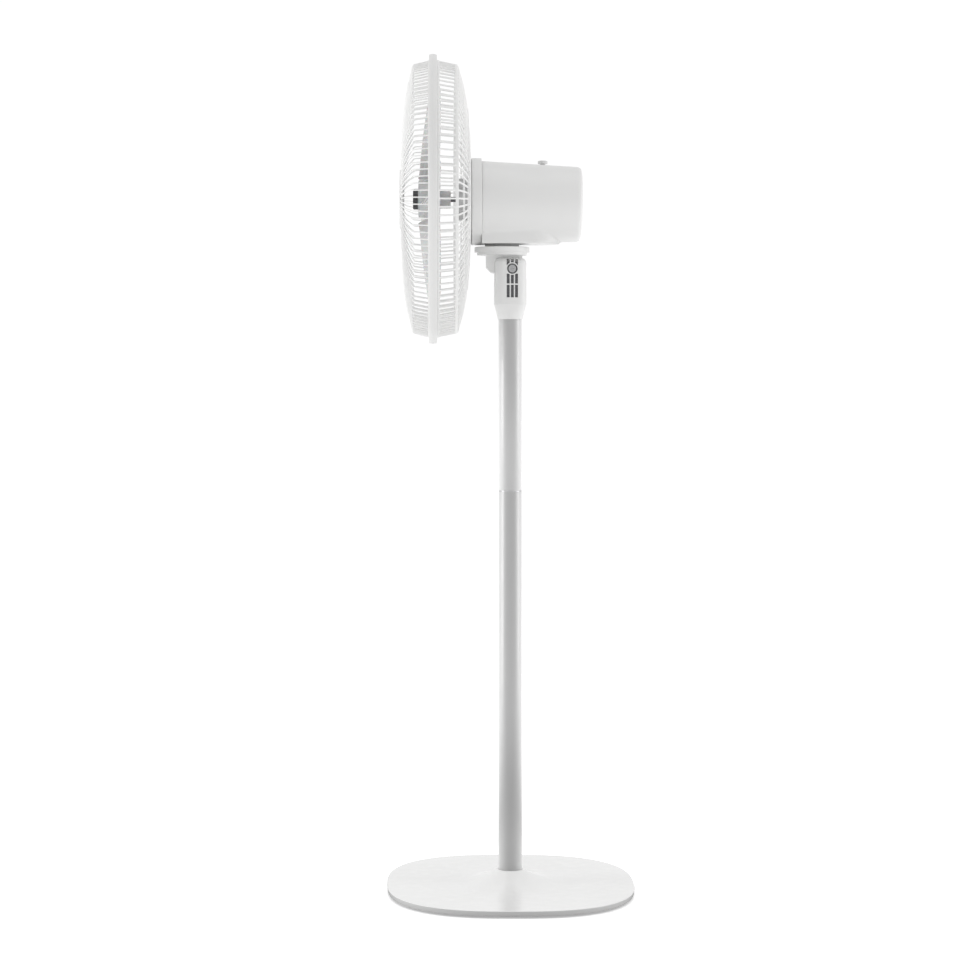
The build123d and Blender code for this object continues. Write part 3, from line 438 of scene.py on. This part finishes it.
def rear_grille():
    ribs, depth, width = 108, 2.4 * MM, 2.6 * MM
    corner_x, corner_radius = seam_x + 37.7 * MM, 204.5 * MM
    plate_radius = 72 * MM
    rim_x = seam_x + 5 * MM
    path = grille_path(rim_x, corner_x, corner_radius, rear_apex_x, plate_radius, depth)
    section = bar_section(width, depth, 0.7 * MM)
    odd_stop = 137 * MM
    bm = bmesh.new()
    for rib in range(ribs):
        stop = plate_radius if rib % 3 == 0 else odd_stop
        sweep_radial(bm, cut_path(path, stop), 2 * pi * rib / ribs, section)
    for ring in (101.5, 137.5, 173.5):
        near = min(path, key=lambda p: abs(p[1] - ring * MM))
        along = (near[0] - 1.4 * MM, near[0] + 1.4 * MM)
        hoop(bm, soft_box(*along, (ring - 1.5) * MM, (ring + 1.5) * MM, 0.7 * MM))
    hoop(bm, soft_box(corner_x - 5 * MM, corner_x - 0.5 * MM, 202 * MM, 204.9 * MM, 1.0 * MM))
    hoop(bm, soft_box(seam_x + 0.2 * MM, seam_x + 4.6 * MM, 209.5 * MM, 217 * MM))
    hoop(bm, soft_box(seam_x + 4 * MM, seam_x + 9.6 * MM, 208.2 * MM, 211.2 * MM, 0.6 * MM))
    plate_rear = rear_apex_x
    plate = [
        (plate_rear - 2.4 * MM, 24.3 * MM),
        (plate_rear, 24.3 * MM),
        (plate_rear, 34 * MM),
        (plate_rear - 0.2 * MM, 72.6 * MM),
        (plate_rear - 1.2 * MM, 73.6 * MM),
        (plate_rear - 2.6 * MM, 73 * MM),
        (plate_rear - 3.4 * MM, 70 * MM),
        (plate_rear - 2.6 * MM, 68 * MM),
        (plate_rear - 2.6 * MM, 52 * MM),
        (plate_rear - 3.6 * MM, 51 * MM),
        (plate_rear - 3.6 * MM, 48 * MM),
        (plate_rear - 2.6 * MM, 47 * MM),
    ]
    hoop(bm, plate)
    mesh = finish_mesh("rear_grille_ribs", bm)
    add_piece("rear_grille_ribs", mesh, "head", "grille_plastic", ("rear_grille",))


def grille_ring():
    """The clip hoop: a channel with a softly crowned outside that holds both rims."""
    wall = 1.6 * MM
    front = ring_low.x
    rear = ring_high.x
    lip, bore = 213 * MM, 217.3 * MM
    corners = [
        (front + wall, lip),
        (front, lip),
        (front, ring_radius - 0.7 * MM),
        (seam_x, ring_radius + 0.35 * MM),
        (rear, ring_radius - 0.9 * MM),
        (rear, lip),
        (rear - wall, lip),
        (rear - wall, bore),
        (front + wall, bore),
    ]
    radii = [0.4 * MM, 1.3 * MM, 3 * MM, 1.3 * MM, 0.4 * MM, 0.3 * MM, 0.3 * MM]
    bm = bmesh.new()
    hoop(bm, rounded(corners, radii, 4), 256)
    mesh = finish_mesh("grille_ring_hoop", bm)
    add_piece("grille_ring_hoop", mesh, "head", "ring_plastic", ("grille_ring",))


# ---------------------------------------------------------------- fan
BLADES = 5
HUB_RADIUS, BLADE_RADIUS = 30 * MM, 178 * MM


def blade_point(spread, across, above):
    """A point of the blade at rest pointing up: spread 0-1 along it, across -1..1 over its chord."""
    radius = HUB_RADIUS + (BLADE_RADIUS - HUB_RADIUS) * spread
    chord = 52 * MM * (1 + 1.27 * spread - 1.15 * spread**2)
    tip = max(0.0, (spread - 0.86) / 0.14)
    chord *= sqrt(max(1 - 0.85 * tip**2.4, 0.02))
    pitch = radians(38 - 24 * sqrt(spread))
    camber = 0.07 * chord * (1 - across**2)
    run, rise = chord / 2 * across, camber + above
    x = (-125 + 9.5 * spread) * MM + sin(pitch) * run + cos(pitch) * rise
    swing = cos(pitch) * run - sin(pitch) * rise
    angle = 0.28 * spread
    out = Vector((0, -sin(angle), cos(angle)))
    side = Vector((0, cos(angle), sin(angle)))
    return Vector((x, 0, 0)) + out * radius + side * swing


def one_blade(bm, turn):
    rows, columns, thickness = 28, 16, 2.2 * MM

    def section_ring(spread):
        ring = []
        for side in (1, -1):
            for column in range(columns):
                t = -1 + 2 * column / (columns - 1)
                across = t * side
                edge = sqrt(max(1 - across**8, 0.0))
                above = thickness / 2 + side * (thickness / 2) * (0.35 + 0.65 * edge)
                point = blade_point(spread, across, above)
                y = point.y * cos(turn) + point.z * sin(turn)
                z = -point.y * sin(turn) + point.z * cos(turn)
                ring.append(bm.verts.new((point.x, y, head_z + z)))
        return ring

    rings = [section_ring((row / (rows - 1)) ** 0.9) for row in range(rows)]
    for first, second in zip(rings, rings[1:]):
        bridge(bm, first, second)
    bm.faces.new(rings[0])
    bm.faces.new(rings[-1])


def fan_blade():
    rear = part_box("fan_blade")[1].x
    hub_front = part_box("spinner_nut")[1].x
    bm = bmesh.new()
    for blade in range(BLADES):
        one_blade(bm, 2 * pi * blade / BLADES)
    corners = [
        (hub_front, 4 * MM),
        (hub_front, 16 * MM),
        (hub_front + 1.5 * MM, 17 * MM),
        (hub_front + 0.3 * MM, HUB_RADIUS),
        (hub_front + 34 * MM, HUB_RADIUS + 0.6 * MM),
        (hub_front + 34 * MM, 28 * MM),
        (hub_front + 4 * MM, 27.4 * MM),
        (hub_front + 4 * MM, 14.5 * MM),
        (rear, 13.8 * MM),
        (rear, 4 * MM),
    ]
    radii = [0.6 * MM, 0.6 * MM, 5 * MM, 0.6 * MM, 0.6 * MM, 2 * MM, 2 * MM, 1.2 * MM]
    hoop(bm, rounded(corners, radii, 5), 96)
    mesh = finish_mesh("fan_blade_moulding", bm)
    add_piece("fan_blade_moulding", mesh, "rotor", "blade_plastic", ("fan_blade",))


# ---------------------------------------------------------------- base and pole
def base_cover():
    """The base cover: a superellipse plan with a rolled edge that sweeps up to the pole."""
    low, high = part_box("base_cover")
    half = (high.x - low.x) / 2
    power = 2.6
    skin = 2.4 * MM
    top = high.z - 20 * MM
    flare = 90 * MM
    mouth = pole_radius + 0.1 * MM

    def outline(inset):
        def place(angle):
            span = (abs(cos(angle)) ** power + abs(sin(angle)) ** power) ** (1 / power)
            return (half - inset) / span
        return place

    def circle(radius):
        return lambda angle: radius

    outer = [(outline(1.5 * MM), low.z), (outline(1.1 * MM), low.z + 0.3 * MM)]
    edge = 0.9 * MM
    for step in range(9):
        turn = pi / 2 * step / 8
        outer.append((outline(edge * (1 - cos(turn))), top - edge * (1 - sin(turn))))
    for inset in (12, 28, 50, 74):
        outer.append((outline(inset * MM), top))
    rise = high.z - 0.8 * MM - top
    lip = pole_radius + 2.4 * MM
    run = flare - lip
    sweep_radius = (run**2 + rise**2) / (2 * rise)
    for step in range(19):
        across = run * step / 18
        outer.append((circle(flare - across), top + sweep_radius - sqrt(sweep_radius**2 - across**2)))
    outer.append((circle(lip - 0.5 * MM), high.z - 0.15 * MM))
    outer.append((circle(lip - 1.2 * MM), high.z))
    outer.append((circle(mouth), high.z - 0.4 * MM))
    underside = top - skin
    inner = [
        (circle(mouth), high.z - 6 * MM),
        (circle(36 * MM), top + 4 * MM),
        (circle(56 * MM), underside),
        (outline(60 * MM), underside),
        (outline(skin + 0.6 * MM), underside),
        (outline(skin), underside - 0.6 * MM),
        (outline(skin), low.z + 0.4 * MM),
        (outline(skin - 0.3 * MM), low.z),
    ]
    bm = bmesh.new()
    rings = [
        ring_of(bm, 288, lambda a, f=reach, h=height: (f(a) * cos(a), f(a) * sin(a), h))
        for reach, height in outer + inner
    ]
    for first, second in zip(rings, rings[1:] + rings[:1]):
        bridge(bm, first, second)
    mesh = finish_mesh("base_cover_shell", bm)
    add_piece("base_cover_shell", mesh, "stand", "base_gloss", ("base_cover",), "white_plastic")


def pole_tube(node, seam_at_top):
    low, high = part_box(node)
    origin = Vector((0, 0, 0))
    bore = pole_radius - 1.5 * MM
    bevel = 0.6 * MM
    top_bevel = bevel if seam_at_top else 0.2 * MM
    low_bevel = 0.2 * MM if seam_at_top else bevel
    profile = [
        (low.z, bore),
        (low.z, pole_radius - low_bevel),
        (low.z + 0.4 * low_bevel, pole_radius - 0.35 * low_bevel),
        (low.z + low_bevel, pole_radius),
        (high.z - top_bevel, pole_radius),
        (high.z - 0.4 * top_bevel, pole_radius - 0.35 * top_bevel),
        (high.z, pole_radius - top_bevel),
        (high.z, bore),
    ]
    lathe(node + "_tube", profile, "stand", "white_pole", "Z", origin, 160, True, stands_for=(node,))


# ---------------------------------------------------------------- head casing
def drum_axis(x):
    """Height of the drum's middle at a place along it."""
    start, end = housing_low.x, housing_high.x
    return head_z - 4.7 * MM - 3.3 * MM * (x - start) / (end - start)


def motor_housing():
    """The motor's drum with its saddle, rounded rear edge, vents and the well of the speed knob."""
    start, rear = housing_low.x, housing_high.x - 1.5 * MM
    front_radius, rear_radius = 63.3 * MM, 57.0 * MM
    pad_bottom = housing_low.z
    pad_half, pad_end = 42 * MM, 34 * MM
    well_radius, well_depth = 22 * MM, 12 * MM
    count = 288
    edge = 6.5 * MM

    def drum_radius(x):
        return front_radius + (rear_radius - front_radius) * (x - start) / (rear - start)

    profile = [(start, drum_radius(start) - 0.8 * MM), (start + 0.4 * MM, drum_radius(start) - 0.1 * MM)]
    stations = 44
    for step in range(1, stations + 1):
        x = start + 1 * MM + (rear - edge - start - 1 * MM) * step / stations
        profile.append((x, drum_radius(x)))
    for step in range(1, 13):
        turn = pi / 2 * step / 12
        profile.append((rear - edge * (1 - sin(turn)), rear_radius - edge * (1 - cos(turn)) * 0.96))
    face = rear_radius - edge * 0.96
    vent_zone = [46 * MM, 43 * MM, 38 * MM, 33 * MM, 30 * MM]
    for radius in [face - 2 * MM] + vent_zone + [well_radius + 2.5 * MM, well_radius + 1.0 * MM]:
        bulge = 1.6 * MM * (1 - (radius / face) ** 2)
        profile.append((rear + bulge, radius))
    well_face = profile[-1][0]
    profile.append((well_face - 0.3 * MM, well_radius + 0.3 * MM))
    profile.append((well_face - 1.0 * MM, well_radius))
    profile.append((rear - well_depth, well_radius - 0.3 * MM))
    profile.append((rear - well_depth, 3.6 * MM))

    def saddle_radius(x, angle, centre_z):
        """Distance to the saddle's surface from the drum's middle, or 0 where it has none."""
        beyond = max(0.0, x - pad_end)
        if beyond >= pad_half or x > rear - edge:
            return 0.0
        half = sqrt(pad_half**2 - beyond**2)
        down = -cos(angle)
        if down <= 0.05:
            return 0.0
        depth = centre_z - pad_bottom
        side = abs(sin(angle))
        to_floor = depth / down
        to_side = half / side if side > 1e-6 else 1e9
        soft = 2.5 * MM
        return min(to_floor, to_side) - soft * 0.25 * max(0.0, 1 - abs(to_floor - to_side) / soft) ** 2

    def place_at(x, radius, on_drum):
        centre_z = drum_axis(x)

        def place(angle):
            reach = radius
            if on_drum:
                saddle = saddle_radius(x, angle, centre_z)
                soft = 1.6 * MM
                gap = abs(saddle - radius)
                reach = max(saddle, radius) + soft * 0.25 * max(0.0, 1 - gap / soft) ** 2
            lean = (centre_z + reach * cos(angle) - drum_axis(rear)) * 0.0219 * (x - start) / (rear - start)
            return (x + lean, reach * sin(angle), centre_z + reach * cos(angle))

        return place

    bm = bmesh.new()
    rings = []
    for x, radius in profile:
        rings.append(ring_of(bm, count, place_at(x, radius, x <= rear - edge + 1e-6 and radius > 50 * MM)))
    vent_faces = []
    for index, (first, second) in enumerate(zip(rings, rings[1:])):
        between = (profile[index][1] + profile[index + 1][1]) / 2
        for step in range(count):
            after = (step + 1) % count
            face = bm.faces.new((first[step], first[after], second[after], second[step]))
            on_rear = profile[index][0] > rear - 0.1 * MM and 32 * MM < between < 45 * MM
            if on_rear and step % 12 in (4, 5, 6, 7):
                vent_faces.append(face)
    bmesh.ops.recalc_face_normals(bm, faces=bm.faces)
    walls = bmesh.ops.extrude_face_region(bm, geom=vent_faces, use_keep_orig=False)
    moved = [item for item in walls["geom"] if isinstance(item, bmesh.types.BMVert)]
    bmesh.ops.translate(bm, verts=moved, vec=(-2.6 * MM, 0, 0))
    floor_faces = [item for item in walls["geom"] if isinstance(item, bmesh.types.BMFace)]
    bmesh.ops.delete(bm, geom=floor_faces, context="FACES")
    bmesh.ops.delete(bm, geom=[f for f in vent_faces if f.is_valid], context="FACES")
    mesh = finish_mesh("motor_housing_shell", bm)
    add_piece("motor_housing_shell", mesh, "head", "white_plastic", ("motor_housing",))


def front_cover():
    """The collar between the rear grille and the drum, with the threaded boss in its middle."""
    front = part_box("front_cover")[0].x
    face = collar_high.x - 16 * MM
    rear = collar_high.x
    radius = (collar_high.y - collar_low.y) / 2
    centre = Vector((0, 0, collar_low.z + radius))
    corners = [
        (face + 3 * MM, 24 * MM),
        (face + 3 * MM, radius - 2.4 * MM),
        (rear, radius - 2.4 * MM),
        (rear, radius - 0.1 * MM),
        (rear - 8 * MM, radius),
        (face, radius),
        (face, radius - 9 * MM),
        (face + 0.8 * MM, radius - 10 * MM),
        (face, radius - 11 * MM),
        (face, 24 * MM),
    ]
    radii = [2 * MM, 0.4 * MM, 0.9 * MM, 3 * MM, 3 * MM, 0.4 * MM, 0.4 * MM, 0.4 * MM]
    skirt = rounded(corners, radii, 5)
    stands_for = ("front_cover",)
    lathe("front_cover_collar", skirt, "head", "white_plastic", "X", centre, 192, True, stands_for=stands_for)
    thread = [(front, 10 * MM), (front, 22 * MM)]
    pitch = 3 * MM
    turns = int((face - front) / pitch) - 1
    for turn in range(turns):
        base = front + 1 * MM + turn * pitch
        thread += [(base, 22.6 * MM), (base + 0.7 * MM, 23.9 * MM)]
        thread += [(base + 1.5 * MM, 23.9 * MM), (base + 2.2 * MM, 22.6 * MM)]
    thread += [(face + 3 * MM, 23.4 * MM), (face + 3 * MM, 10 * MM)]
    lathe("front_cover_thread", thread, "head", "white_plastic", "X", Vector((0, 0, head_z)), 96, True)


front_grille()
rear_grille()
grille_ring()
fan_blade()
base_cover()
pole_tube("pole_lower", True)
pole_tube("pole_upper", False)
motor_housing()
front_cover()


# ---------------------------------------------------------------- the other CAD nodes
def dress(node, finish, bevel=0.3):
    """Give a CAD node its finish, softly broken edges and clean shading."""
    piece = cad_nodes[node]
    piece.data.materials.clear()
    piece.data.materials.append(finishes[finish])
    if bevel:
        edge = piece.modifiers.new("broken_edges", "BEVEL")
        edge.width = bevel * MM
        edge.segments = 2
        edge.limit_method = "ANGLE"
        edge.angle_limit = radians(32)
        edge.harden_normals = False
    piece.data.shade_smooth()
    piece.data.set_sharp_from_angle(angle=radians(34))


# painted shade: the tilt bracket and friction washers, seen through the neck's vents and around the tilt
# bolt, get dark finishes in place of their own, standing in for shade in those openings
SHADE_DARKENED_FINISHES = {"tilt_bracket": "dark_steel", "friction_washers": "dark_plastic"}
replaced = {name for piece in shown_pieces() for name in piece.get("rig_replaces", [])}
for subpart in frame["record"]["subparts"]:
    if subpart["node"] not in replaced:
        dress(subpart["node"], SHADE_DARKENED_FINISHES.get(subpart["node"], subpart["material_slot"]))


# ---------------------------------------------------------------- stage, light and camera
def stage():
    """A white floor that runs into the backdrop; close under the base it throws less light back."""
    bpy.ops.mesh.primitive_plane_add(size=24)
    floor = bpy.context.object
    floor.name = "studio_floor"
    finish = Finish("studio_floor", (0.9, 0.9, 0.9), 0.6, specular=0.2)
    finish.gloss(finish.noise(3, 2), 0.55, 0.65)
    finish.shader.inputs["Emission Color"].default_value = (1, 1, 1, 1)
    seen = finish.node("ShaderNodeLightPath").outputs["Is Camera Ray"]
    distance = finish.node("ShaderNodeVectorMath", operation="LENGTH")
    finish.link(finish.place, distance.inputs[0])
    for socket, near, far in (("Base Color", 0.3, 0.9), ("Emission Strength", 0.0, 0.42)):
        choose = finish.node("ShaderNodeMix", B=far)
        finish.link(seen, choose.inputs["Factor"])
        finish.link(finish.ranged(distance.outputs["Value"], near, far, 0.25, 0.9), choose.inputs["A"])
        finish.link(choose.outputs["Result"], finish.shader.inputs[socket])
    floor.data.materials.append(finish.material)


def studio_world():
    """White studio all round, darker low down in front so that the casings keep their shading."""
    world = bpy.data.worlds.new("studio")
    world.use_nodes = True
    tree = world.node_tree
    background = tree.nodes["Background"]
    place = tree.nodes.new("ShaderNodeTexCoord")
    split = tree.nodes.new("ShaderNodeSeparateXYZ")
    facing = tree.nodes.new("ShaderNodeMapRange")
    facing.interpolation_type = "SMOOTHSTEP"
    facing.inputs["From Min"].default_value = -1.0
    facing.inputs["From Max"].default_value = -0.1
    facing.inputs["To Min"].default_value = 0.54
    facing.inputs["To Max"].default_value = 0.88
    seen = tree.nodes.new("ShaderNodeLightPath")
    choose = tree.nodes.new("ShaderNodeMix")
    choose.inputs["B"].default_value = 1.02
    tree.links.new(place.outputs["Generated"], split.inputs["Vector"])
    tree.links.new(split.outputs["Y"], facing.inputs["Value"])
    tree.links.new(seen.outputs["Is Camera Ray"], choose.inputs["Factor"])
    tree.links.new(facing.outputs["Result"], choose.inputs["A"])
    tree.links.new(choose.outputs["Result"], background.inputs["Strength"])
    background.inputs["Color"].default_value = (1, 1, 1, 1)
    bpy.context.scene.world = world


def softbox(name, place, aim, width, height, power):
    lamp = bpy.data.lights.new(name, "AREA")
    lamp.shape = "RECTANGLE"
    lamp.size = width
    lamp.size_y = height
    lamp.energy = power
    holder = bpy.data.objects.new(name, lamp)
    bpy.context.scene.collection.objects.link(holder)
    holder.location = place
    holder.rotation_euler = (Vector(aim) - Vector(place)).to_track_quat("-Z", "Y").to_euler()
    holder.visible_camera = False


def camera():
    """Level camera on the fan's left; a vertical shift keeps the uprights parallel."""
    pixels, sensor = 970, 36.0
    focal = 2300
    metres_per_pixel = 1.528 * MM
    horizon = 350
    aside = 79.5 * MM
    lens = bpy.data.cameras.new("studio_camera")
    lens.sensor_width = sensor
    lens.lens = focal * sensor / pixels
    lens.shift_y = -(pixels / 2 - horizon) / pixels
    lens.shift_x = aside / metres_per_pixel / pixels
    holder = bpy.data.objects.new("studio_camera", lens)
    bpy.context.scene.collection.objects.link(holder)
    holder.location = (-38.5 * MM - aside, -focal * metres_per_pixel, 823 * MM)
    holder.rotation_euler = (radians(90), 0, 0)
    bpy.context.scene.camera = holder


stage()
studio_world()
softbox("left_softbox", (-2.6, -0.3, 1.1), (0, 0, 0.75), 1.0, 2.4, 20)
softbox("right_softbox", (2.6, -0.3, 1.1), (0, 0, 0.75), 1.0, 2.4, 14)
softbox("top_softbox", (0.2, -0.4, 3.4), (0, 0, 0.6), 1.6, 1.6, 6)
bpy.context.scene.view_settings.view_transform = "Standard"
camera()
